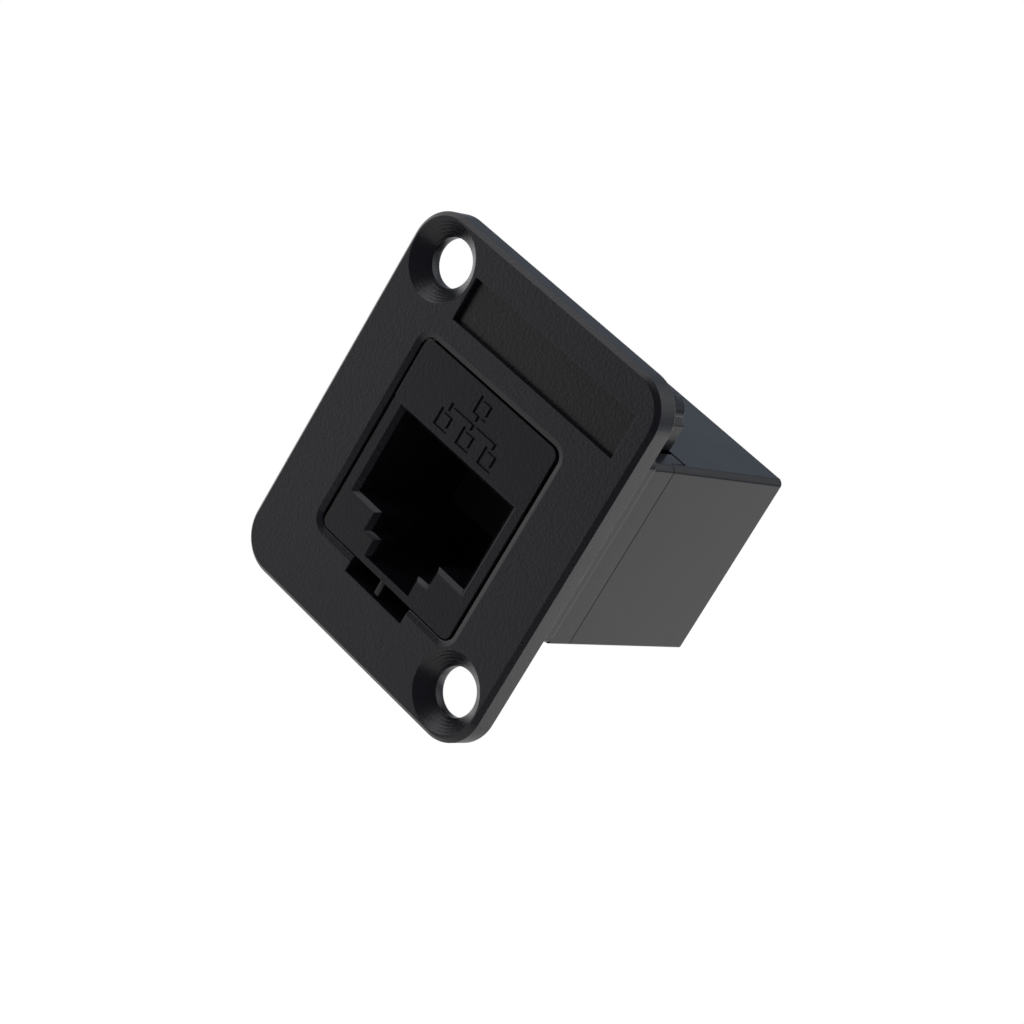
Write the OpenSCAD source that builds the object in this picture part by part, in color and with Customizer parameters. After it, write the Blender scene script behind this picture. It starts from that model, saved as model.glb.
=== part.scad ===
// Ethernet coupler: a two-port snap-in insert held in a rectangular panel flange.
// Frame: the origin is the centre of the flange's rear face, which lies on the panel.
// X runs to the right, Y runs through the panel towards the back, Z is up. Millimetres.

/* [Flange] */
// Width of the flange
flange_w = 26; // [25:0.5:30]
// Height of the flange
flange_h = 31; // [30:0.5:36]
// Thickness of the flange
flange_t = 2.1; // [1.9:0.1:3]
// Corner radius of the flange
corner_r = 3.2; // [1.5:0.1:3.4]
// Chamfer round the front rim
rim_c = 0.35; // [0.2:0.05:0.6]
// Screw hole spacing across
hole_span_x = 19; // [18.8:0.1:19.6]
// Screw hole spacing up and down
hole_span_z = 24; // [23.8:0.1:24.6]
// Radius of the screw holes
hole_r = 1.85; // [1.55:0.05:1.9]
// Radius of the countersinks at the front
sink_r = 3.05; // [2.6:0.05:3.1]
// Radius of the boss that fills the panel cut-out
boss_r = 11.9; // [11.85:0.05:12]
// Depth of the boss behind the flange
boss_d = 1.9; // [1.7:0.1:3]

/* [Marking field] */
// Width of the sunk marking field
field_w = 17.3; // [12:0.05:17.5]
// Height of the sunk marking field
field_h = 3.5; // [2:0.05:3.8]
// Depth of the sunk marking field
field_d = 0.5; // [0.2:0.05:1.2]
// Space from the field to the right edge of the flange
field_side = 1.85; // [1:0.05:2.5]
// Space from the field to the top edge of the flange
field_above = 2.75; // [2.6:0.05:3.2]

/* [Snap-in window] */
// Clearance between the insert and the window at each side
side_gap = 0.25; // [0.1:0.01:0.3]
// Clearance between the insert and the window above it
top_gap = 0.13; // [0.06:0.01:0.2]
// Clearance between the insert and the window under it
seat_gap = 0.06; // [0.04:0.02:0.1]
// Width of the bevel round the window's front
window_c = 0.47; // [0.2:0.01:0.6]
// Depth of the bevel round the window's front
window_d = 0.14; // [0.1:0.01:0.3]
// Depth of the retaining lips at the back of the boss
lip_t = 0.9; // [0.7:0.1:1]
// Width of the hook slot through the flange
slot_w = 6.4; // [5:0.1:6.6]
// Width of the fixed hook behind the flange
hook_w = 7.3; // [6.9:0.1:7.4]
// Drop of the fixed hook below the insert
hook_h = 1.15; // [0.9:0.05:1.3]
// Thickness of the rib in front of the hook
rib_t = 0.5; // [0.4:0.1:1.2]
// Depth of the rib's front behind the flange's face
rib_recess = 0.2; // [0.1:0.05:1.2]

/* [Insert] */
// Width of the front housing's collar
insert_w = 14.6; // [14.4:0.1:15]
// Height of the front housing's collar
insert_h = 16.4; // [16.2:0.1:16.6]
// Height of the collar's middle above the flange's middle
insert_z = -1.16; // [-1.3:0.02:-1]
// Depth of the label pad's face behind the flange's face
face_recess = 0.08; // [0:0.02:0.4]
// Distance from the panel to the end of the collar
collar_y = 10.25; // [8:0.05:11.5]
// Step from the collar in to the sides and the bottom of the body
body_inset = 0.06; // [0.04:0.02:0.2]
// Step from the collar's top down to the body's top
body_drop = 0.28; // [0.1:0.02:0.4]
// Distance from the panel to the seam between the housings
seam_y = 12.75; // [12.5:0.05:14]
// Distance from the panel to the rear face
rear_y = 27.5; // [26.8:0.1:29]
// Fall of the rear housing's top from the seam to the rear face
rear_drop = 0.24; // [0.06:0.02:0.4]
// Round on the long edges of the collar
edge_r = 0.7; // [0.4:0.05:1]
// Chamfer on the upper long edges of the body and the rear housing
edge_c = 0.39; // [0.2:0.01:0.5]
// Chamfer on the lower long edges of the body and the rear housing
keel_c = 0.15; // [0.1:0.05:0.4]
// Chamfer round the rear face
rear_c = 0.15; // [0.1:0.05:0.4]
// Width of the tongue that locks the housings together
tongue_w = 13.2; // [11.5:0.1:13.3]
// Length of the tongue past the seam
tongue_l = 1.6; // [0.8:0.1:2]
// Space behind the tongue's end
tongue_gap = 0.3; // [0.1:0.05:0.4]
// Clearance at the tongue's sides
tongue_fit = 0.04; // [0.02:0.01:0.1]
// Thickness of the tongue
tongue_t = 1.1; // [0.95:0.05:1.2]

/* [Latch lever] */
// Width of the lever at its foot
lever_w = 9.95; // [8:0.05:10.1]
// Step in from the lever's foot to its rounded cap, at each side
cap_inset = 0.55; // [0.3:0.05:0.8]
// Height of the slanted shoulder below the cap
shoulder_h = 0.4; // [0.2:0.05:0.6]
// Height of the lever above the collar
lever_h = 3.65; // [3.2:0.05:4]
// Distance from the panel to the lever's thumb end
lever_y = 14.35; // [13.5:0.05:15]
// Thickness of the lever where it bends
lever_t = 0.85; // [0.7:0.05:0.9]
// Height of the tooth on the lever
tooth_h = 0.7; // [0.5:0.05:0.8]
// Depth of the arm where it meets the thumb end
arm_h = 1.6; // [1.2:0.1:2]
// Length of the thumb end
thumb_l = 2.2; // [1.6:0.1:3]
// Round on the cap's upper edges
thumb_r = 1.25; // [0.8:0.05:1.3]
// Depth of the channel under the lever
channel_d = 0.85; // [0.6:0.05:0.9]

/* [Port] */
// Width of the plug opening
port_w = 12.05; // [11.9:0.05:12.2]
// Height of the plug opening
port_h = 7.02; // [6.9:0.02:7.1]
// Height of the label pad above the front opening
pad_h = 5.57; // [5.47:0.02:5.6]
// Step from the label pad to the frame of the opening
pad_step = 0.07; // [0.05:0.01:0.2]
// Rise of the label pad's lower edge beside the opening
pad_slant = 0.25; // [0.1:0.05:0.4]
// Width of the upper latch step
latch_w = 6.6; // [6.2:0.1:7]
// Height of the upper latch step
latch_h = 1.6; // [1.5:0.05:1.65]
// Width of the lower latch step
tail_w = 4.3; // [4.2:0.1:4.8]
// Height of the lower latch step
tail_h = 1.65; // [1.4:0.05:1.7]
// Thickness of the ledges that hold the plug's latch
ledge_t = 2.2; // [1.5:0.1:3]
// Depth of the bevel round the opening
mouth_d = 0.33; // [0.1:0.01:0.4]
// Width of the bevel at the opening's sides
mouth_side = 0.4; // [0.2:0.02:0.5]
// Width of the bevel at the opening's top
mouth_top = 0.3; // [0.2:0.02:0.4]
// Width of the bevel at the opening's floors
mouth_floor = 0.22; // [0.1:0.02:0.3]

/* [Contacts] */
// Spacing of the contacts
contact_pitch = 1.02; // [0.95:0.01:1.1]
// Width of a contact
wire_w = 0.46; // [0.35:0.01:0.5]
// Thickness of a contact
wire_t = 0.3; // [0.2:0.02:0.36]
// Radius of a contact's front bend
bend_r = 0.55; // [0.45:0.05:0.6]
// Slope of a contact's spring arm in degrees
spring_a = 15; // [10:1:16]
// Distance between the two rows of contact tails
row_gap = 1.4; // [1.2:0.05:1.6]
// Side clearance of a contact in its groove
groove_gap = 0.06; // [0.04:0.01:0.1]
// Height of the contacts' straight runs above the port
run_h = 0.5; // [0.45:0.05:0.6]
// Space from a contact's front bend to the end of the top plate
bend_gap = 0.3; // [0.2:0.05:0.5]
// Space behind the sprung end of a contact
arm_gap = 0.4; // [0.3:0.05:0.6]
// Depth in the comb wall at which a contact turns up to the upper row
riser_d = 0.2; // [0.15:0.05:0.4]

/* [Carriers and board] */
// Length of a contact carrier's top plate
plate_l = 11; // [10:0.1:11.4]
// Height of a contact carrier above the port
plate_h = 3.35; // [3:0.05:3.5]
// Thickness of the carrier's comb wall
comb_t = 3.1; // [2.8:0.1:3.6]
// Depth of the comb's slots
comb_d = 1.3; // [1:0.1:1.6]
// Clearance round the carriers and the board
inner_gap = 0.08; // [0.04:0.02:0.15]
// Thickness of the circuit board
board_t = 1.2; // [1:0.1:1.6]
// Width of the circuit board
board_w = 12.8; // [12.4:0.1:13]
// Height of the circuit board
board_h = 12.2; // [11.8:0.1:12.6]
// Radius of the board's contact holes
via_r = 0.32; // [0.3:0.01:0.36]

/* [Hidden] */
$fn = 64;
eps = 0.01;
fit_gap = 0.1;
contact_n = 8;

// Levels of the front housing and its port
insert_top = insert_z + insert_h / 2;
insert_bottom = insert_z - insert_h / 2;
port_top = insert_top - pad_h;
port_floor = port_top - port_h;
latch_floor = port_floor - latch_h;
tail_floor = latch_floor - tail_h;

// Section that the body and the rear housing share
body_half = insert_w / 2 - body_inset;
body_top = insert_top - body_drop;
body_bottom = insert_bottom + body_inset;
body_h = body_top - body_bottom;

// Depths from the seam, growing towards each port's mouth
front_mouth = seam_y + flange_t - face_recess;
rear_mouth = rear_y - seam_y;
board_half = board_t / 2;
comb_face = board_half + comb_t;
plate_end = board_half + plate_l;
latch_end = comb_face - comb_d;

// Snap-in window and the parts that catch in it
window_w = insert_w + 2 * side_gap;
window_h = insert_h + top_gap + seat_gap;
window_z = insert_z + (top_gap - seat_gap) / 2;
window_r = edge_r + side_gap;
lip_y = boss_d - lip_t;
tooth_y = lip_y - fit_gap;
hook_bottom = insert_bottom - hook_h;
pocket_bottom = hook_bottom - 2 * fit_gap;
neck_top = insert_top + lever_t;
tooth_top = neck_top + tooth_h;
lever_top = insert_top + lever_h;
lever_gap = 3 * fit_gap;
foot_z = body_top + fit_gap;
channel_z = body_top - channel_d;

// Contact levels
run_z = port_top + run_h;
bend_d = plate_end - bend_r - wire_t / 2 - bend_gap;
bend_z = run_z - bend_r;
arm_start = [bend_d + bend_r * sin(spring_a), bend_z - bend_r * cos(spring_a)];
arm_end_d = latch_end + arm_gap;
arm_l = (arm_start[0] - arm_end_d) / cos(spring_a);
pocket_top = port_top + plate_h + inner_gap;

function contact_x(n) = (n - (contact_n + 1) / 2) * contact_pitch;
function tail_z(upper) = run_z + (upper ? row_gap : 0);
function is_odd(n) = n % 2 == 1;

// Outline of the plug opening, clockwise from its upper left corner
function port_outline() = [
    [-port_w / 2, port_top], [port_w / 2, port_top],
    [port_w / 2, port_floor], [latch_w / 2, port_floor],
    [latch_w / 2, latch_floor], [tail_w / 2, latch_floor],
    [tail_w / 2, tail_floor], [-tail_w / 2, tail_floor],
    [-tail_w / 2, latch_floor], [-latch_w / 2, latch_floor],
    [-latch_w / 2, port_floor], [-port_w / 2, port_floor]
];

// A flat outline in X and Z, extruded from y0 to y1
module along_y(y0, y1) {
    translate([0, y1, 0])
        rotate([90, 0, 0])
            linear_extrude(y1 - y0)
                children();
}

// A flat outline in Y and Z, extruded to both sides of the middle
module along_x(width) {
    translate([-width / 2, 0, 0])
        rotate([90, 0, 90])
            linear_extrude(width)
                children();
}

// A box from its low corner to its high corner
module box(low, high) {
    translate(low)
        cube(high - low);
}

// Places a part that is laid out from the seam into the front or the rear half
module in_front() {
    translate([0, seam_y, 0])
        mirror([0, 1, 0])
            children();
}

module in_rear() {
    translate([0, seam_y, 0])
        children();
}

module round_rect(w, h, r) {
    square([w - 2 * r, h], center = true);
    square([w, h - 2 * r], center = true);
    for (x = [-1, 1], z = [-1, 1])
        translate([x * (w / 2 - r), z * (h / 2 - r)])
            circle(r);
}

// A chamfered outline in X and Z, from one height to another
module body_outline(low, high) {
    keel = body_half - keel_c;
    ridge = body_half - edge_c;
    polygon([
        [-body_half, low + keel_c], [-keel, low], [keel, low], [body_half, low + keel_c],
        [body_half, high - edge_c], [ridge, high], [-ridge, high], [-body_half, high - edge_c]
    ]);
}

// A rounded plate that grows by c on every side from y = 0 to y = d
module flare(w, h, r, c, d) {
    for (turn = [0, 90]) {
        across = turn == 0 ? w : h;
        length = (turn == 0 ? h : w) - 2 * r;
        rotate([0, turn, 0])
            translate([0, 0, -length / 2])
                linear_extrude(length)
                    polygon([[-across / 2, 0], [across / 2, 0], [across / 2 + c, d], [-across / 2 - c, d]]);
    }
    for (x = [-1, 1], z = [-1, 1])
        translate([x * (w / 2 - r), 0, z * (h / 2 - r)])
            rotate([-90, 0, 0])
                cylinder(r1 = r, r2 = r + c, h = d);
}

// Front flange with its boss, screw holes, marking field and snap-in window
module screw_hole() {
    rotate([-90, 0, 0]) {
        translate([0, 0, -flange_t - eps])
            cylinder(r = hole_r, h = flange_t + 2 * eps);
        translate([0, 0, -flange_t])
            cylinder(r1 = sink_r, r2 = hole_r, h = sink_r - hole_r);
    }
}

module window() {
    translate([0, 0, window_z]) {
        along_y(-flange_t - eps, boss_d + eps)
            round_rect(window_w, window_h, window_r);
        translate([0, -flange_t + window_d, 0])
            mirror([0, 1, 0])
                flare(window_w, window_h, window_r, window_c, window_d);
    }
}

// The pockets that the hook and the lever's tooth catch in, behind the flange's front
module catch_pockets() {
    box([-slot_w / 2, -flange_t - eps, pocket_bottom], [slot_w / 2, lip_y, insert_bottom]);
    box([-hook_w / 2 - fit_gap, 0, pocket_bottom], [hook_w / 2 + fit_gap, lip_y, insert_bottom]);
    box([-lever_w / 2 - lever_gap, 0, insert_top], [lever_w / 2 + lever_gap, lip_y, tooth_top + lever_gap]);
    box([-lever_w / 2 - lever_gap, lip_y - eps, insert_top],
        [lever_w / 2 + lever_gap, boss_d + eps, neck_top + fit_gap]);
}

module marking_field() {
    right = flange_w / 2 - field_side;
    top = flange_h / 2 - field_above;
    box([right - field_w, -flange_t - eps, top - field_h], [right, -flange_t + field_d, top]);
}

module front_flange() {
    color("#2b2b2e")
        difference() {
            union() {
                along_y(-flange_t + rim_c, 0)
                    round_rect(flange_w, flange_h, corner_r);
                translate([0, -flange_t, 0])
                    flare(flange_w - 2 * rim_c, flange_h - 2 * rim_c, corner_r - rim_c, rim_c, rim_c);
                rotate([-90, 0, 0])
                    cylinder(r = boss_r, h = boss_d);
            }
            translate([-hole_span_x / 2, 0, hole_span_z / 2])
                screw_hole();
            translate([hole_span_x / 2, 0, -hole_span_z / 2])
                screw_hole();
            window();
            catch_pockets();
            marking_field();
        }
}

// The plug opening with its latch ledges, from the comb wall out to the mouth
module port_void(mouth) {
    along_y(mouth - ledge_t, mouth + eps)
        polygon(port_outline());
    box([-port_w / 2, -eps, port_floor], [port_w / 2, mouth - ledge_t + eps, port_top]);
    box([-latch_w / 2, latch_end, tail_floor], [latch_w / 2, mouth - ledge_t, port_floor + eps]);
    translate([0, mouth, 0]) {
        mouth_bevel(port_w / 2, port_floor, port_top, mouth_floor, mouth_top);
        mouth_bevel(latch_w / 2, latch_floor, port_top, mouth_floor, 0);
        mouth_bevel(tail_w / 2, tail_floor, port_top, 0, 0);
    }
}

// A funnel round one step of the opening, with its mouth at y = 0
module mouth_bevel(half, low, high, c_low, c_high) {
    wide = half + mouth_side;
    intersection() {
        translate([0, 0, low - c_low])
            linear_extrude(high - low + c_low + c_high)
                polygon([[-half, -mouth_d], [half, -mouth_d], [wide, 0], [wide, eps], [-wide, eps], [-wide, 0]]);
        along_x(2 * wide)
            polygon([
                [-mouth_d, low], [0, low - c_low], [eps, low - c_low],
                [eps, high + c_high], [0, high + c_high], [-mouth_d, high]
            ]);
    }
}

// The pocket for a contact carrier and the seat for half the board's thickness
module inner_void() {
    board_x = board_w / 2 + inner_gap;
    box([-port_w / 2, -eps, port_top - eps], [port_w / 2, plate_end, pocket_top]);
    box([-board_x, -eps, pocket_top - board_h - inner_gap], [board_x, board_half, pocket_top + inner_gap]);
}

// The face of the front housing below the label pad, which stands back by the pad's step
module frame_face() {
    side = insert_w / 2 + eps;
    corner = port_w / 2 + mouth_side;
    pad_low = port_top + mouth_top;
    along_y(front_mouth - pad_step, front_mouth + eps)
        polygon([
            [-side, insert_bottom - eps], [side, insert_bottom - eps], [side, pad_low + pad_slant],
            [corner, pad_low], [-corner, pad_low], [-side, pad_low + pad_slant]
        ]);
}

// Front housing: face, port, tongue, fixed hook and latch lever in one moulding
module fixed_hook() {
    along_x(hook_w - 2 * fit_gap)
        polygon([
            [fit_gap, insert_bottom + edge_r], [fit_gap, hook_bottom + hook_h / 2],
            [fit_gap + hook_h / 4, hook_bottom], [tooth_y, hook_bottom], [tooth_y, insert_bottom + edge_r]
        ]);
    box([-rib_t / 2, rib_recess - flange_t, hook_bottom], [rib_t / 2, tooth_y, insert_bottom + edge_r]);
}

module lever_section() {
    foot = lever_w / 2;
    cap = foot - cap_inset;
    round_z = lever_top - thumb_r;
    shoulder_z = round_z - shoulder_h;
    polygon([
        [-foot, channel_z], [foot, channel_z], [foot, shoulder_z],
        [cap, round_z], [-cap, round_z], [-foot, shoulder_z]
    ]);
    translate([thumb_r - cap, channel_z])
        square([2 * (cap - thumb_r), lever_top - channel_z]);
    for (x = [-1, 1])
        translate([x * (cap - thumb_r), round_z])
            circle(thumb_r);
}

module latch_lever() {
    thumb_y = lever_y - thumb_l;
    intersection() {
        along_x(lever_w)
            polygon([
                [-flange_t / 2, channel_z], [lip_y, channel_z], [boss_d, insert_top],
                [thumb_y, lever_top - arm_h], [thumb_y, foot_z], [lever_y, foot_z],
                [lever_y, lever_top], [thumb_y, lever_top], [boss_d, neck_top],
                [tooth_y, neck_top], [tooth_y, tooth_top], [tooth_y / 2, tooth_top],
                [fit_gap, neck_top], [fit_gap, insert_top], [-flange_t / 2, insert_top]
            ]);
        along_y(-flange_t, lever_y + eps)
            lever_section();
    }
}

module front_housing() {
    tongue_x = tongue_w / 2;
    channel_x = lever_w / 2 + lever_gap;
    color("#333336")
        difference() {
            union() {
                difference() {
                    union() {
                        translate([0, 0, insert_z])
                            along_y(seam_y - front_mouth, collar_y)
                                round_rect(insert_w, insert_h, edge_r);
                        along_y(collar_y - eps, seam_y)
                            body_outline(body_bottom, body_top);
                        box([-tongue_x, seam_y - tongue_l, body_top - tongue_t],
                            [tongue_x, seam_y + tongue_l, body_top]);
                    }
                    box([-channel_x, lip_y, channel_z],
                        [channel_x, seam_y + tongue_l + eps, insert_top + eps]);
                }
                latch_lever();
                fixed_hook();
            }
            in_front() {
                port_void(front_mouth - pad_step);
                inner_void();
                frame_face();
            }
        }
}

// Rear housing: the body's section drawn out to the rear face under a sloping top,
// with the second port and a notch for the tongue
module rear_shell() {
    slope = atan2(rear_drop, rear_mouth);
    intersection() {
        along_y(seam_y, rear_y)
            body_outline(body_bottom, body_top + body_h);
        translate([0, seam_y, body_top])
            rotate([-slope, 0, 0])
                along_y(-rear_mouth, 2 * rear_mouth)
                    body_outline(-2 * body_h, 0);
        along_x(2 * body_half)
            polygon([
                [seam_y, body_bottom], [rear_y - rear_c, body_bottom], [rear_y, body_bottom + rear_c],
                [rear_y, body_top - rear_drop - rear_c], [rear_y - rear_c, body_top - rear_drop],
                [rear_y - rear_c, body_top], [seam_y, body_top]
            ]);
        translate([0, 0, body_bottom])
            linear_extrude(body_h)
                polygon([
                    [-body_half, seam_y], [body_half, seam_y], [body_half, rear_y - rear_c],
                    [body_half - rear_c, rear_y], [rear_c - body_half, rear_y], [-body_half, rear_y - rear_c]
                ]);
    }
}

module rear_housing() {
    notch_x = tongue_w / 2 + tongue_fit;
    notch_z = body_top - tongue_t - fit_gap;
    color("#333336")
        difference() {
            rear_shell();
            in_rear() {
                port_void(rear_mouth);
                inner_void();
                box([-notch_x, -eps, notch_z], [notch_x, tongue_l + tongue_gap, body_top + eps]);
            }
        }
}

// A contact carrier: comb wall, top plate, a groove for each contact and risers to the upper row
module carrier(upper_is_odd) {
    side = port_w / 2 - inner_gap;
    groove = wire_w / 2 + groove_gap;
    run_top = run_z + wire_t / 2;
    difference() {
        union() {
            box([-side, board_half, port_floor], [side, comb_face, port_top + plate_h]);
            box([-side, board_half, port_top], [side, plate_end, port_top + plate_h]);
        }
        for (n = [1:contact_n]) {
            x = contact_x(n);
            upper = is_odd(n) == upper_is_odd;
            box([x - groove, board_half - eps, port_top - eps], [x + groove, plate_end + eps, run_top]);
            box([x - groove, latch_end, port_top - port_h / 2], [x + groove, comb_face + eps, port_top + eps]);
            if (upper)
                box([x - groove, board_half - eps, run_top - eps],
                    [x + groove, comb_face + eps, tail_z(true) + wire_t / 2]);
        }
    }
}

module front_carrier() {
    color("#3c3c40")
        in_front()
            carrier(false);
}

module rear_carrier() {
    color("#3c3c40")
        in_rear()
            carrier(true);
}

// A straight stretch of a contact's side view, with a round joint at its start
module stretch(p, q) {
    run = q - p;
    translate(p) {
        rotate(atan2(run[1], run[0]))
            translate([0, -wire_t / 2])
                square([norm(run), wire_t]);
        circle(wire_t / 2);
    }
}

// Side view of a contact, from its tail in the board round the front bend to the sprung end
module contact_profile(upper) {
    riser = upper ? row_gap : 0;
    low = [comb_face - riser_d, run_z];
    high = [low[0] - riser, tail_z(upper)];
    if (upper)
        stretch(low, high);
    translate([-board_half, tail_z(upper) - wire_t / 2])
        square([high[0] + board_half, wire_t]);
    if (upper)
        translate(high)
            circle(wire_t / 2);
    translate([low[0], run_z - wire_t / 2])
        square([bend_d - low[0], wire_t]);
    intersection() {
        translate([bend_d, bend_z])
            difference() {
                circle(bend_r + wire_t / 2);
                circle(bend_r - wire_t / 2);
            }
        translate([bend_d, bend_z - 2 * bend_r])
            square(4 * bend_r);
        translate([bend_d, bend_z])
            rotate(spring_a)
                translate([0, -2 * bend_r])
                    square(4 * bend_r);
    }
    translate(arm_start)
        rotate(180 + spring_a)
            translate([0, -wire_t / 2])
                square([arm_l, wire_t]);
}

module contact(n, upper) {
    translate([contact_x(n), 0, 0])
        along_x(wire_w)
            contact_profile(upper);
}

module front_contact(n) {
    color("#d8b24a")
        in_front()
            contact(n, !is_odd(n));
}

module rear_contact(n) {
    color("#d8b24a")
        in_rear()
            contact(n, is_odd(n));
}

// Circuit board between the carriers, with a hole for every contact tail
module circuit_board() {
    color("#1f5236")
        difference() {
            box([-board_w / 2, seam_y - board_half, pocket_top - board_h],
                [board_w / 2, seam_y + board_half, pocket_top]);
            for (n = [1:contact_n], upper = [false, true])
                translate([contact_x(n), seam_y, tail_z(upper)])
                    rotate([90, 0, 0])
                        cylinder(r = via_r, h = 2 * board_t, center = true);
        }
}

front_flange();
front_housing();
rear_housing();
front_carrier();
rear_carrier();
circuit_board();
for (n = [1:contact_n]) {
    front_contact(n);
    rear_contact(n);
}
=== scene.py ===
"""Dresses the ethernet coupler: black plastic, gold contacts, studio light, the photograph's camera."""
import math
from contextlib import contextmanager

import bmesh
import bpy
from mathutils import Matrix, Vector


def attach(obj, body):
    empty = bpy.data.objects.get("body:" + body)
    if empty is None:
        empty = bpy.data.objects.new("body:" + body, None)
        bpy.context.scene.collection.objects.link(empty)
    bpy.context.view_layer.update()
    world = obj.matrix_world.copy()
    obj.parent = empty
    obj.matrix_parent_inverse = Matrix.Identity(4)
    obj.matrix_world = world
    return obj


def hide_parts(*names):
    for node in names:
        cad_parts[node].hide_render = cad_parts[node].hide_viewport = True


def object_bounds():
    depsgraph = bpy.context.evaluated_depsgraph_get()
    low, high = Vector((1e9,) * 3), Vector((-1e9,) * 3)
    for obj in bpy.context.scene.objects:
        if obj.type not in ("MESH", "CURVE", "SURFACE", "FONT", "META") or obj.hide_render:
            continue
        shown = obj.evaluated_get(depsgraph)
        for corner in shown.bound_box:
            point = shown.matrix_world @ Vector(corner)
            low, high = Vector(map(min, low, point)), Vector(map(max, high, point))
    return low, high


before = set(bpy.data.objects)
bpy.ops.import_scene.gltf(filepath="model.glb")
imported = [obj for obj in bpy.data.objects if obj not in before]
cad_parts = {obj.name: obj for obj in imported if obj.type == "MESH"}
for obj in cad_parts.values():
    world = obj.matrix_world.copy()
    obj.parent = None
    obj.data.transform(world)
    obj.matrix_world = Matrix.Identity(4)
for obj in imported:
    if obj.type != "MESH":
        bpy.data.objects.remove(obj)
cad_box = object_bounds()

MM = 0.001
ROOT = "root"
CONTACT_COUNT = 8

# Camera solved from the flange's edges in the photograph
IMAGE_PX = 1024
FOCAL_PX = 3381.8
SENSOR_MM = 36.0
CLIP_START_M = 0.01
CLIP_END_M = 50.0
CAMERA_AT_MM = Vector((127.56, -189.9, 76.78))
AZIMUTH_DEG = 32.804
ELEVATION_DEG = 18.627
ROLL_DEG = 30.949

# Edge rounds that a moulding has, in millimetres, and the shares of them that some edges get
FLANGE_ROUND = 0.08
HOUSING_ROUND = 0.06
FINE_SHARE = 0.3
LONG_SHARE = 1.8
MOUTH_SHARE = 1.5
ROUND_STEPS = 2

# Limits that sort edges and faces: angles, lengths, and parts of a face's unit normal
SHARP_DEG = 25.0
RIM_DEG = 8.0
SQUARE_DEG = 60.0
FLAT_DEG = 0.4
LONG_MM = 2.0
SAME_MM = 0.01
WELD_M = 1e-7
END_NORMAL_Y = 0.5
SIDE_NORMAL_X = 0.9

# Sizes of the part that the scene lines up with, in millimetres
FACE_Y = -2.1
PAD_Y = -2.02
FRAME_Y = -1.95
PAD_LOW_Z = 2.1
PAD_MIDDLE_Z = 4.4
PORT_X = 6.0
COLLAR_Y = 10.25
COLLAR_SIDE_X = 6.5
FLOOR_RIMS_Z = (-5.77, -7.37)
SINK_R = 3.05
SINKS_XZ = ((-9.5, 12.0), (9.5, -12.0))
FIELD_MIDDLE = (2.5, -1.6, 11.0)
FIELD_REACH = (8.66, 0.05, 1.76)

# Fine forms on the front housing, in millimetres
COLLAR_LEAD = 0.16
COLLAR_FALL = 0.05
FLOOR_RIM_DROP = 0.11

# Network sign sunk in the label pad: one box over three, joined by lines, in millimetres
SIGN_BOX = 0.72
SIGN_LINE = 0.15
SIGN_PITCH = 2.45
SIGN_ROW = 1.32
SIGN_DEPTH = 0.15
SIGN_PLACES = ((0, 1), (-1, -1), (0, -1), (1, -1))

# Surfaces
NOISE_SPAN = (0.3, 0.7)
FULL_SPAN = (0.0, 1.0)
FLOW_MM = 4.0
FLOW_STRENGTH = 0.08
FLOW_HEIGHT_MM = 0.05
MOTTLE_MM = 0.7
GRAIN_HEIGHT_MM = 0.02
RING_MM = 0.22
RING_STRENGTH = 1.0
RING_HEIGHT_MM = 0.003
RING_END_Y = FACE_Y / 4
FIELD_COLOUR = (0.001, 0.001, 0.0018)

# Floor and lamp
FLOOR_DROP_MM = 95.0
FLOOR_RADIUS_MM = 230.0
FLOOR_SIDES = 96
FLOOR_COLOUR = (0.9, 0.9, 0.9)
FLOOR_ROUGHNESS = 0.9
FLOOR_LIFT = 0.35
LAMP_AT_MM = (-330, -210, 520)
LAMP_AIM_MM = (0, 8, 0)
LAMP_SIZE_MM = 1400
LAMP_POWER_W = 3.1

# Room: for each side a direction and the cosines between which its level changes
WHITE = (1.0, 1.0, 1.0)
FILL_LEVEL = 0.55
ROOM_WHITE = (1.08, 1.08, 1.09)
FRONT_SIDE = (0.525, -0.827, 0.2)
FRONT_RAMP = (0.06, 0.56)
FRONT_COLOUR = (0.09, 0.09, 0.115)
BACK_SIDE = (0.0, 1.0, 0.0)
BACK_RAMP = (0.1, 0.5)
UP_SIDE = (0.0, 0.0, 1.0)
UP_RAMP = (-0.15, 0.03)
HIGH_SIDE = (0.5, 0.0, 1.0)
HIGH_RAMP = (0.4, 0.75)
DIM_COLOUR = (0.228, 0.262, 0.312)
KEY_SIDE = (-0.62, -0.26, 0.74)
KEY_RAMP = (0.86, 0.95)
KEY_COLOUR = (1.55, 1.55, 1.6)


# Edges

def on_plane_y(edge, y_mm):
    return all(abs(v.co.y / MM - y_mm) < SAME_MM for v in edge.verts)


def on_sink_rim(edge):
    """True for an edge on the front rim of a countersink."""
    for x, z in SINKS_XZ:
        ends = [math.hypot(v.co.x / MM - x, v.co.z / MM - z) for v in edge.verts]
        if all(abs(r - SINK_R) < SAME_MM for r in ends):
            return True
    return False


def is_corner(edge):
    """True for an edge between two sides, and not between the facets of one curved side."""
    angle = math.degrees(edge.calc_face_angle(0.0))
    return angle > SHARP_DEG or (angle > RIM_DEG and on_plane_y(edge, FACE_Y))


def is_long_chamfer(edge):
    """True for the edges of the chamfers that run along the housings."""
    run = edge.verts[1].co - edge.verts[0].co
    start = min(v.co.y for v in edge.verts) / MM
    return start > COLLAR_Y - LONG_MM and abs(run.y) / MM > LONG_MM


def is_mouth_edge(edge):
    """True for the label pad's lower edge and the outer edge of the bevel right of the opening."""
    if on_plane_y(edge, PAD_Y):
        return max(v.co.z for v in edge.verts) / MM < PAD_LOW_Z
    return on_plane_y(edge, FRAME_Y) and min(v.co.x for v in edge.verts) / MM > PORT_X


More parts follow.
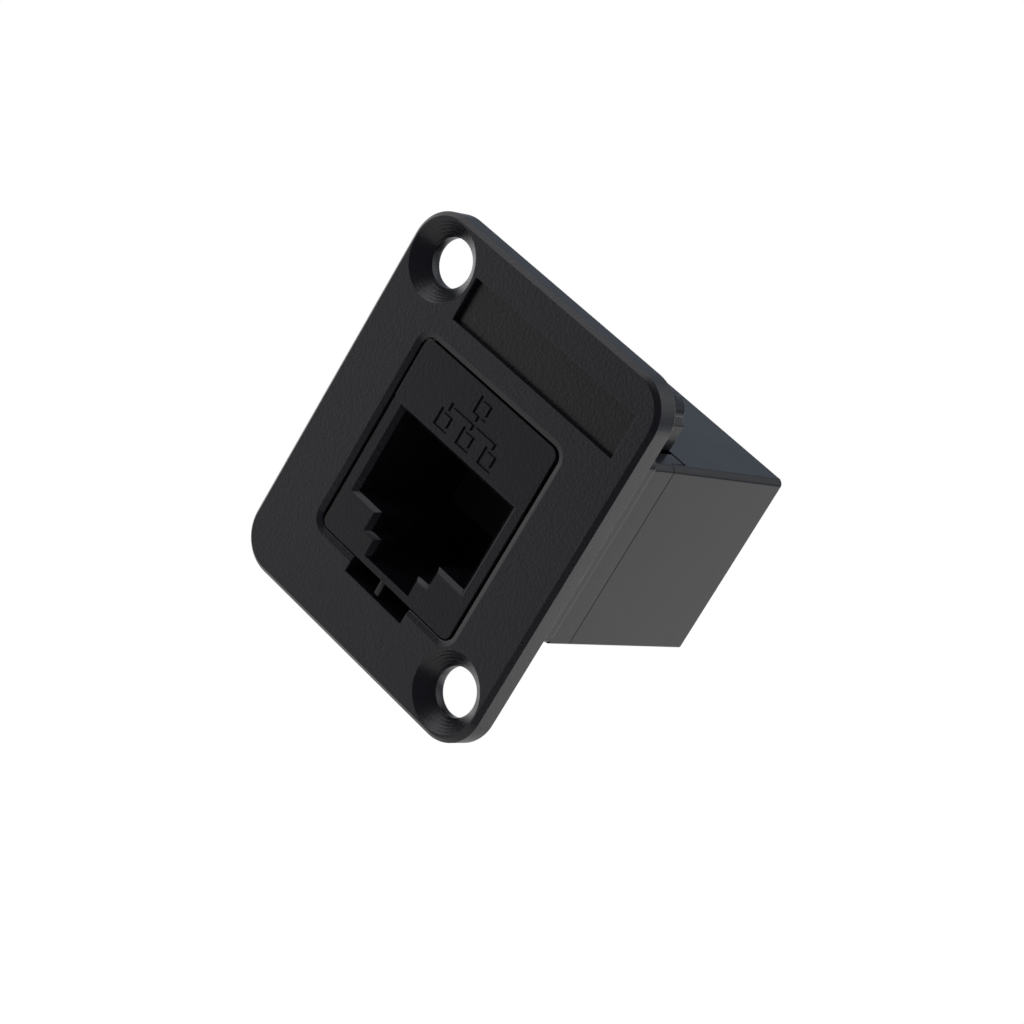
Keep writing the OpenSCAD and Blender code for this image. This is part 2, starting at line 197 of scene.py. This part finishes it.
def is_collar_end(edge):
    """True for the rim at the rear end of the collar's sides."""
    reach = min(abs(v.co.x) for v in edge.verts) / MM
    return on_plane_y(edge, COLLAR_Y) and reach > COLLAR_SIDE_X


def is_sign_edge(edge):
    """True for an edge of the sign in the label pad."""
    width = SIGN_PITCH + SIGN_BOX + SAME_MM
    height = SIGN_ROW + SIGN_BOX + SAME_MM
    depth = SIGN_DEPTH + SAME_MM
    for vert in edge.verts:
        x, y, z = vert.co / MM
        if abs(x) > width or abs(z - PAD_MIDDLE_Z) > height or abs(y - PAD_Y) > depth:
            return False
    return True


def round_share(edge):
    """How much of the full edge round an edge gets."""
    if not edge.is_convex or not is_corner(edge) or on_sink_rim(edge) or is_collar_end(edge):
        return 0.0
    if is_mouth_edge(edge):
        return MOUTH_SHARE
    if math.degrees(edge.calc_face_angle(0.0)) > SQUARE_DEG:
        return 1.0
    return LONG_SHARE if is_long_chamfer(edge) else FINE_SHARE


# Meshes

@contextmanager
def editing(mesh):
    """Opens a mesh for editing and writes it back at the end."""
    bm = bmesh.new()
    bm.from_mesh(mesh)
    yield bm
    bm.to_mesh(mesh)
    bm.free()


def add_object(name, data):
    obj = bpy.data.objects.new(name, data)
    bpy.context.scene.collection.objects.link(obj)
    return obj


def apply_modifiers(obj):
    evaluated = obj.evaluated_get(bpy.context.evaluated_depsgraph_get())
    mesh = bpy.data.meshes.new_from_object(evaluated)
    mesh.name = obj.name
    obj.modifiers.clear()
    obj.data = mesh


def node_copy(node, name):
    """A new object with a clean copy of a CAD node's mesh: joined corners, one face per flat side."""
    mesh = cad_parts[node].data.copy()
    mesh.name = name
    with editing(mesh) as bm:
        bmesh.ops.remove_doubles(bm, verts=bm.verts, dist=WELD_M)
        bmesh.ops.dissolve_limit(
            bm,
            angle_limit=math.radians(FLAT_DEG),
            use_dissolve_boundaries=False,
            verts=bm.verts,
            edges=bm.edges,
        )
    if "custom_normal" in mesh.attributes:
        mesh.attributes.remove(mesh.attributes["custom_normal"])
    return add_object(name, mesh)


def sign_cells():
    """The sign's strokes as (x0, z0, x1, z1), and the open middles of its boxes."""
    strokes = [(-SIGN_PITCH - SIGN_LINE, -SIGN_LINE, SIGN_PITCH + SIGN_LINE, SIGN_LINE)]
    middles = []
    inner = SIGN_BOX - 2 * SIGN_LINE
    for column, row in SIGN_PLACES:
        x = column * SIGN_PITCH
        z = row * SIGN_ROW
        stem = sorted((0.0, z - row * SIGN_BOX))
        strokes.append((x - SIGN_LINE, stem[0], x + SIGN_LINE, stem[1]))
        strokes.append((x - SIGN_BOX, z - SIGN_BOX, x + SIGN_BOX, z + SIGN_BOX))
        middles.append((x - inner, z - inner, x + inner, z + inner))
    return strokes, middles


def sign_cutter():
    """A closed solid in the shape of the sign that reaches as deep as it is sunk."""
    strokes, middles = sign_cells()
    rects = strokes + middles
    xs = sorted({x for r in rects for x in (r[0], r[2])})
    zs = sorted({z for r in rects for z in (r[1], r[3])})

    def covered(x, z, group):
        return any(r[0] < x < r[2] and r[1] < z < r[3] for r in group)

    mesh = bpy.data.meshes.new("sign_cutter")
    points = {}
    with editing(mesh) as bm:
        for x0, x1 in zip(xs, xs[1:]):
            for z0, z1 in zip(zs, zs[1:]):
                middle = ((x0 + x1) / 2, (z0 + z1) / 2)
                if not covered(*middle, strokes) or covered(*middle, middles):
                    continue
                ring = [(x0, z0), (x1, z0), (x1, z1), (x0, z1)]
                for x, z in ring:
                    if (x, z) not in points:
                        at = Vector((x, PAD_Y + SIGN_DEPTH, z + PAD_MIDDLE_Z)) * MM
                        points[x, z] = bm.verts.new(at)
                bm.faces.new([points[corner] for corner in ring])
        grown = bmesh.ops.extrude_face_region(bm, geom=bm.faces[:])
        front = [item for item in grown["geom"] if isinstance(item, bmesh.types.BMVert)]
        bmesh.ops.translate(bm, verts=front, vec=(0.0, -2 * SIGN_DEPTH * MM, 0.0))
        bmesh.ops.recalc_face_normals(bm, faces=bm.faces)
    return add_object("sign_cutter", mesh)


def sink_sign(obj):
    """Cuts the sign into the label pad and marks its corners sharp."""
    cutter = sign_cutter()
    mod = obj.modifiers.new("sign", "BOOLEAN")
    mod.operation = "DIFFERENCE"
    mod.solver = "EXACT"
    mod.object = cutter
    apply_modifiers(obj)
    bpy.data.objects.remove(cutter)
    with editing(obj.data) as bm:
        for edge in bm.edges:
            if is_sign_edge(edge) and is_corner(edge):
                edge.smooth = False


def ease_collar(obj):
    """Lets the sides of the insert's front part fall in a little at their rear end."""
    with editing(obj.data) as bm:
        falls = []
        for vert in bm.verts:
            if abs(vert.co.y / MM - COLLAR_Y) > SAME_MM or abs(vert.co.x) / MM < COLLAR_SIDE_X:
                continue
            sides = [face for face in vert.link_faces if abs(face.normal.y) < END_NORMAL_Y]
            out = sum((face.normal for face in sides), Vector()).normalized()
            in_front = all(face.calc_center_median().y < vert.co.y for face in sides)
            if in_front and abs(out.x) > SIDE_NORMAL_X:
                falls.append((vert, out, sides))
        faces = {face for _, _, sides in falls for face in sides}
        edges = {edge for face in faces for edge in face.edges}
        verts = {vert for edge in edges for vert in edge.verts}
        bmesh.ops.bisect_plane(
            bm,
            geom=list(faces) + list(edges) + list(verts),
            dist=WELD_M,
            plane_co=(0.0, (COLLAR_Y - COLLAR_LEAD) * MM, 0.0),
            plane_no=(0.0, 1.0, 0.0),
        )
        for vert, out, _ in falls:
            vert.co -= out * COLLAR_FALL * MM


def open_floors(obj):
    """Lowers the outer rims of the opening's floor bevels, so that the bevels lean at 45 degrees."""
    for vert in obj.data.vertices:
        _, y, z = vert.co / MM
        if abs(y - FRAME_Y) < SAME_MM and any(abs(z - rim) < SAME_MM for rim in FLOOR_RIMS_Z):
            vert.co.z -= FLOOR_RIM_DROP * MM


def mark_edges(obj):
    """Gives each edge its share of the round, and marks the corners that get none sharp."""
    with editing(obj.data) as bm:
        weight = bm.edges.layers.float.new("bevel_weight_edge")
        for edge in bm.edges:
            edge[weight] = round_share(edge)
            edge.smooth = edge[weight] > 0 or not is_corner(edge)


def round_edges(obj, width_mm):
    """Rounds the outer edges as a mould does."""
    mod = obj.modifiers.new("edge round", "BEVEL")
    mod.width = width_mm * MM
    mod.segments = ROUND_STEPS
    mod.limit_method = "WEIGHT"
    mod.use_clamp_overlap = False
    apply_modifiers(obj)


def flatten_sides(obj):
    """Smooth shading over the rounds that leans to the large faces and keeps inner corners sharp."""
    with editing(obj.data) as bm:
        for edge in bm.edges:
            if is_corner(edge) and not edge.is_convex:
                edge.smooth = False
    for poly in obj.data.polygons:
        poly.use_smooth = True
    flat = obj.modifiers.new("flat sides", "WEIGHTED_NORMAL")
    flat.keep_sharp = True
    apply_modifiers(obj)


def moulded_piece(node, name, width_mm, material, shapes=(), cut=None):
    """The visible form of a CAD node: shaped, then rounded at its edges, then cut."""
    piece = node_copy(node, name)
    for shape in shapes:
        shape(piece)
    mark_edges(piece)
    round_edges(piece, width_mm)
    if cut:
        cut(piece)
    flatten_sides(piece)
    piece.data.materials.clear()
    piece.data.materials.append(material)
    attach(piece, ROOT)
    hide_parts(node)


def dress_node(node, material):
    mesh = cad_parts[node].data
    mesh.materials.clear()
    mesh.materials.append(material)


# Nodes

def math_node(tree, operation, *values):
    node = tree.nodes.new("ShaderNodeMath")
    node.operation = operation
    for socket, value in zip(node.inputs, values):
        if isinstance(value, (int, float)):
            socket.default_value = value
        else:
            tree.links.new(value, socket)
    return node.outputs[0]


def split_xyz(tree, vector):
    node = tree.nodes.new("ShaderNodeSeparateXYZ")
    tree.links.new(vector, node.inputs[0])
    return node.outputs


def noise(tree, coords, size_mm, detail, roughness=0.5):
    node = tree.nodes.new("ShaderNodeTexNoise")
    node.inputs["Scale"].default_value = 1 / (size_mm * MM)
    node.inputs["Detail"].default_value = detail
    node.inputs["Roughness"].default_value = roughness
    tree.links.new(coords, node.inputs["Vector"])
    return node.outputs["Fac"]


def map_range(tree, value, source, target, interpolation="LINEAR"):
    """Maps a value from one range to another, held at both ends."""
    node = tree.nodes.new("ShaderNodeMapRange")
    node.interpolation_type = interpolation
    limits = ("From Min", "From Max", "To Min", "To Max")
    for limit, level in zip(limits, (*source, *target)):
        node.inputs[limit].default_value = level
    tree.links.new(value, node.inputs["Value"])
    return node.outputs["Result"]


def two_tone(tree, value, first, second):
    """Mixes two colours, each given as a tuple or as a socket."""
    node = tree.nodes.new("ShaderNodeMix")
    node.data_type = "RGBA"
    for socket, colour in ((node.inputs["A"], first), (node.inputs["B"], second)):
        if isinstance(colour, tuple):
            socket.default_value = (*colour, 1.0)
        else:
            tree.links.new(colour, socket)
    tree.links.new(value, node.inputs["Factor"])
    return node.outputs["Result"]


def bump(tree, height, strength, distance_mm, normal=None):
    node = tree.nodes.new("ShaderNodeBump")
    node.inputs["Strength"].default_value = strength
    node.inputs["Distance"].default_value = distance_mm * MM
    tree.links.new(height, node.inputs["Height"])
    if normal is not None:
        tree.links.new(normal, node.inputs["Normal"])
    return node.outputs["Normal"]


# Materials

def new_material(name):
    mat = bpy.data.materials.new(name)
    mat.use_nodes = True
    tree = mat.node_tree
    return mat, tree, tree.nodes["Principled BSDF"]


def object_coords(tree):
    return tree.nodes.new("ShaderNodeTexCoord").outputs["Object"]


def turned_rings(tree, coords):
    """Height of the fine turned rings in the countersinks, flat elsewhere."""
    x, y, z = split_xyz(tree, coords)
    reaches = []
    for sink_x, sink_z in SINKS_XZ:
        across = math_node(tree, "SUBTRACT", x, sink_x * MM)
        up = math_node(tree, "SUBTRACT", z, sink_z * MM)
        squares = [math_node(tree, "MULTIPLY", side, side) for side in (across, up)]
        reaches.append(math_node(tree, "SQRT", math_node(tree, "ADD", *squares)))
    reach = math_node(tree, "MINIMUM", *reaches)
    in_sink = math_node(tree, "LESS_THAN", reach, SINK_R * MM)
    at_front = math_node(tree, "LESS_THAN", y, RING_END_Y * MM)
    turns = math_node(tree, "MULTIPLY", reach, 2 * math.pi / (RING_MM * MM))
    wave = math_node(tree, "SINE", turns)
    return math_node(tree, "MULTIPLY", wave, math_node(tree, "MULTIPLY", in_sink, at_front))


def in_field(tree, coords):
    """1 on the floor of the sunk marking field, 0 elsewhere."""
    near = [
        math_node(tree, "COMPARE", socket, middle * MM, reach * MM)
        for socket, middle, reach in zip(split_xyz(tree, coords), FIELD_MIDDLE, FIELD_REACH)
    ]
    return math_node(tree, "MULTIPLY", near[0], math_node(tree, "MULTIPLY", near[1], near[2]))


def moulded_plastic(name, dark, light, rough, grain_mm, grain_strength, ior, is_flange=False):
    """Black moulded plastic with a fine eroded grain, faint flow marks and an uneven sheen."""
    mat, tree, shader = new_material(name)
    coords = object_coords(tree)
    flow = noise(tree, coords, FLOW_MM, detail=3.0)
    mottle = noise(tree, coords, MOTTLE_MM, detail=4.0)
    grain = noise(tree, coords, grain_mm, detail=3.0, roughness=0.6)
    tone = two_tone(tree, map_range(tree, mottle, NOISE_SPAN, FULL_SPAN), dark, light)
    if is_flange:
        tone = two_tone(tree, in_field(tree, coords), tone, FIELD_COLOUR)
    tree.links.new(tone, shader.inputs["Base Color"])
    tree.links.new(map_range(tree, flow, NOISE_SPAN, rough), shader.inputs["Roughness"])
    normal = bump(tree, flow, FLOW_STRENGTH, FLOW_HEIGHT_MM)
    normal = bump(tree, grain, grain_strength, GRAIN_HEIGHT_MM, normal)
    if is_flange:
        rings = turned_rings(tree, coords)
        normal = bump(tree, rings, RING_STRENGTH, RING_HEIGHT_MM, normal)
    tree.links.new(normal, shader.inputs["Normal"])
    shader.inputs["IOR"].default_value = ior
    return mat


def speckled(name, dark, light, rough, speck_mm, detail, metallic):
    """A surface whose tone and sheen both change with one fine noise."""
    mat, tree, shader = new_material(name)
    specks = noise(tree, object_coords(tree), speck_mm, detail)
    tone = two_tone(tree, map_range(tree, specks, NOISE_SPAN, FULL_SPAN), dark, light)
    tree.links.new(tone, shader.inputs["Base Color"])
    tree.links.new(map_range(tree, specks, NOISE_SPAN, rough), shader.inputs["Roughness"])
    shader.inputs["Metallic"].default_value = metallic
    return mat


def floor_white():
    """Matt white that takes shadows, lifted to the background's white for the camera alone."""
    mat, tree, shader = new_material("floor_white")
    shader.inputs["Base Color"].default_value = (*FLOOR_COLOUR, 1.0)
    shader.inputs["Roughness"].default_value = FLOOR_ROUGHNESS
    shader.inputs["Specular IOR Level"].default_value = 0.0
    shader.inputs["Emission Color"].default_value = (*WHITE, 1.0)
    path = tree.nodes.new("ShaderNodeLightPath")
    lift = math_node(tree, "MULTIPLY", path.outputs["Is Camera Ray"], FLOOR_LIFT)
    tree.links.new(lift, shader.inputs["Emission Strength"])
    return mat


# Stage, light and camera

def lay_floor():
    mesh = bpy.data.meshes.new("floor")
    with editing(mesh) as bm:
        radius = FLOOR_RADIUS_MM * MM
        bmesh.ops.create_circle(bm, cap_ends=True, segments=FLOOR_SIDES, radius=radius)
    mesh.materials.append(floor_white())
    disc = add_object("floor", mesh)
    disc.location.z = cad_box[0][2] - FLOOR_DROP_MM * MM


def background(tree, colour, strength):
    """A backdrop whose colour is given as a tuple or as a socket."""
    node = tree.nodes.new("ShaderNodeBackground")
    if isinstance(colour, tuple):
        node.inputs["Color"].default_value = (*colour, 1.0)
    else:
        tree.links.new(colour, node.inputs["Color"])
    node.inputs["Strength"].default_value = strength
    return node.outputs[0]


def mix_shader(tree, factor, first, second):
    node = tree.nodes.new("ShaderNodeMixShader")
    tree.links.new(factor, node.inputs["Fac"])
    tree.links.new(first, node.inputs[1])
    tree.links.new(second, node.inputs[2])
    return node.outputs[0]


def towards(tree, direction, side, ramp, levels=FULL_SPAN):
    """A level that changes smoothly as a direction turns towards a side of the room."""
    dot = tree.nodes.new("ShaderNodeVectorMath")
    dot.operation = "DOT_PRODUCT"
    dot.inputs[1].default_value = side
    tree.links.new(direction, dot.inputs[0])
    return map_range(tree, dot.outputs["Value"], ramp, levels, "SMOOTHSTEP")


def studio_room(tree):
    """The room that shows in the gloss: white, brighter up on the left, dark round the camera.

    Low at the back on the left it is dim and blue.
    """
    direction = tree.nodes.new("ShaderNodeTexCoord").outputs["Generated"]
    front = towards(tree, direction, FRONT_SIDE, FRONT_RAMP)
    back = towards(tree, direction, BACK_SIDE, BACK_RAMP)
    above = towards(tree, direction, UP_SIDE, UP_RAMP)
    low = towards(tree, direction, HIGH_SIDE, HIGH_RAMP, levels=(1.0, 0.0))
    dim = math_node(tree, "MULTIPLY", back, math_node(tree, "MULTIPLY", above, low))
    key = towards(tree, direction, KEY_SIDE, KEY_RAMP)
    lit = two_tone(tree, key, ROOM_WHITE, KEY_COLOUR)
    room = two_tone(tree, front, lit, FRONT_COLOUR)
    return background(tree, two_tone(tree, dim, room, DIM_COLOUR), 1.0)


def studio_world():
    """White behind the object, the studio room in the gloss, and an even fill for the rest."""
    world = bpy.data.worlds.new("studio")
    world.use_nodes = True
    tree = world.node_tree
    tree.nodes.clear()
    out = tree.nodes.new("ShaderNodeOutputWorld")
    rays = tree.nodes.new("ShaderNodeLightPath").outputs
    fill = background(tree, WHITE, FILL_LEVEL)
    white = background(tree, WHITE, 1.0)
    gloss = math_node(tree, "MAXIMUM", rays["Is Glossy Ray"], rays["Is Transmission Ray"])
    lighting = mix_shader(tree, gloss, fill, studio_room(tree))
    seen = mix_shader(tree, rays["Is Camera Ray"], lighting, white)
    tree.links.new(seen, out.inputs["Surface"])
    bpy.context.scene.world = world


def key_lamp():
    """A large soft lamp up on the left. The gloss sees the room's bright side in its place."""
    data = bpy.data.lights.new("key_overhead", "AREA")
    data.shape = "RECTANGLE"
    data.size = LAMP_SIZE_MM * MM
    data.size_y = LAMP_SIZE_MM * MM
    data.energy = LAMP_POWER_W
    lamp = add_object("key_overhead", data)
    lamp.location = Vector(LAMP_AT_MM) * MM
    aim = Vector(LAMP_AIM_MM) * MM - lamp.location
    lamp.rotation_euler = aim.to_track_quat("-Z", "Y").to_euler()
    lamp.visible_glossy = False


def photo_camera():
    data = bpy.data.cameras.new("photo_camera")
    data.sensor_fit = "HORIZONTAL"
    data.sensor_width = SENSOR_MM
    data.lens = FOCAL_PX / IMAGE_PX * SENSOR_MM
    data.clip_start = CLIP_START_M
    data.clip_end = CLIP_END_M
    turn = Matrix.Rotation(math.radians(AZIMUTH_DEG), 4, "Z")
    tilt = Matrix.Rotation(math.radians(90 - ELEVATION_DEG), 4, "X")
    roll = Matrix.Rotation(math.radians(ROLL_DEG), 4, "Z")
    camera = add_object("photo_camera", data)
    camera.matrix_world = Matrix.Translation(CAMERA_AT_MM * MM) @ turn @ tilt @ roll
    bpy.context.scene.camera = camera


# The dressed part

flange_black = moulded_plastic(
    "flange_black",
    dark=(0.004, 0.0039, 0.0062),
    light=(0.0058, 0.0056, 0.0088),
    rough=(0.28, 0.34),
    grain_mm=0.24,
    grain_strength=1.0,
    ior=1.47,
    is_flange=True,
)
housing_black = moulded_plastic(
    "housing_black",
    dark=(0.0035, 0.0035, 0.005),
    light=(0.005, 0.005, 0.007),
    rough=(0.2, 0.26),
    grain_mm=0.24,
    grain_strength=0.7,
    ior=1.39,
)
carrier_black = moulded_plastic(
    "carrier_black",
    dark=(0.006, 0.006, 0.006),
    light=(0.008, 0.008, 0.008),
    rough=(0.4, 0.5),
    grain_mm=0.12,
    grain_strength=0.3,
    ior=1.45,
)
gold = speckled(
    "contact_gold",
    dark=(0.72, 0.47, 0.15),
    light=(0.86, 0.62, 0.24),
    rough=(0.2, 0.34),
    speck_mm=0.12,
    detail=3.0,
    metallic=1.0,
)
board_green = speckled(
    "board_green",
    dark=(0.008, 0.06, 0.022),
    light=(0.014, 0.1, 0.036),
    rough=(0.3, 0.42),
    speck_mm=0.4,
    detail=2.0,
    metallic=0.0,
)

moulded_piece("front_flange", "flange", FLANGE_ROUND, flange_black)
moulded_piece(
    "front_housing",
    "housing_front",
    HOUSING_ROUND,
    housing_black,
    shapes=(open_floors, ease_collar),
    cut=sink_sign,
)
moulded_piece("rear_housing", "housing_rear", HOUSING_ROUND, housing_black)

for end in ("front", "rear"):
    dress_node(f"{end}_carrier", carrier_black)
    for number in range(1, CONTACT_COUNT + 1):
        dress_node(f"{end}_contact_{number}", gold)
dress_node("circuit_board", board_green)

lay_floor()
studio_world()
key_lamp()
photo_camera()
bpy.context.scene.view_settings.view_transform = "Standard"
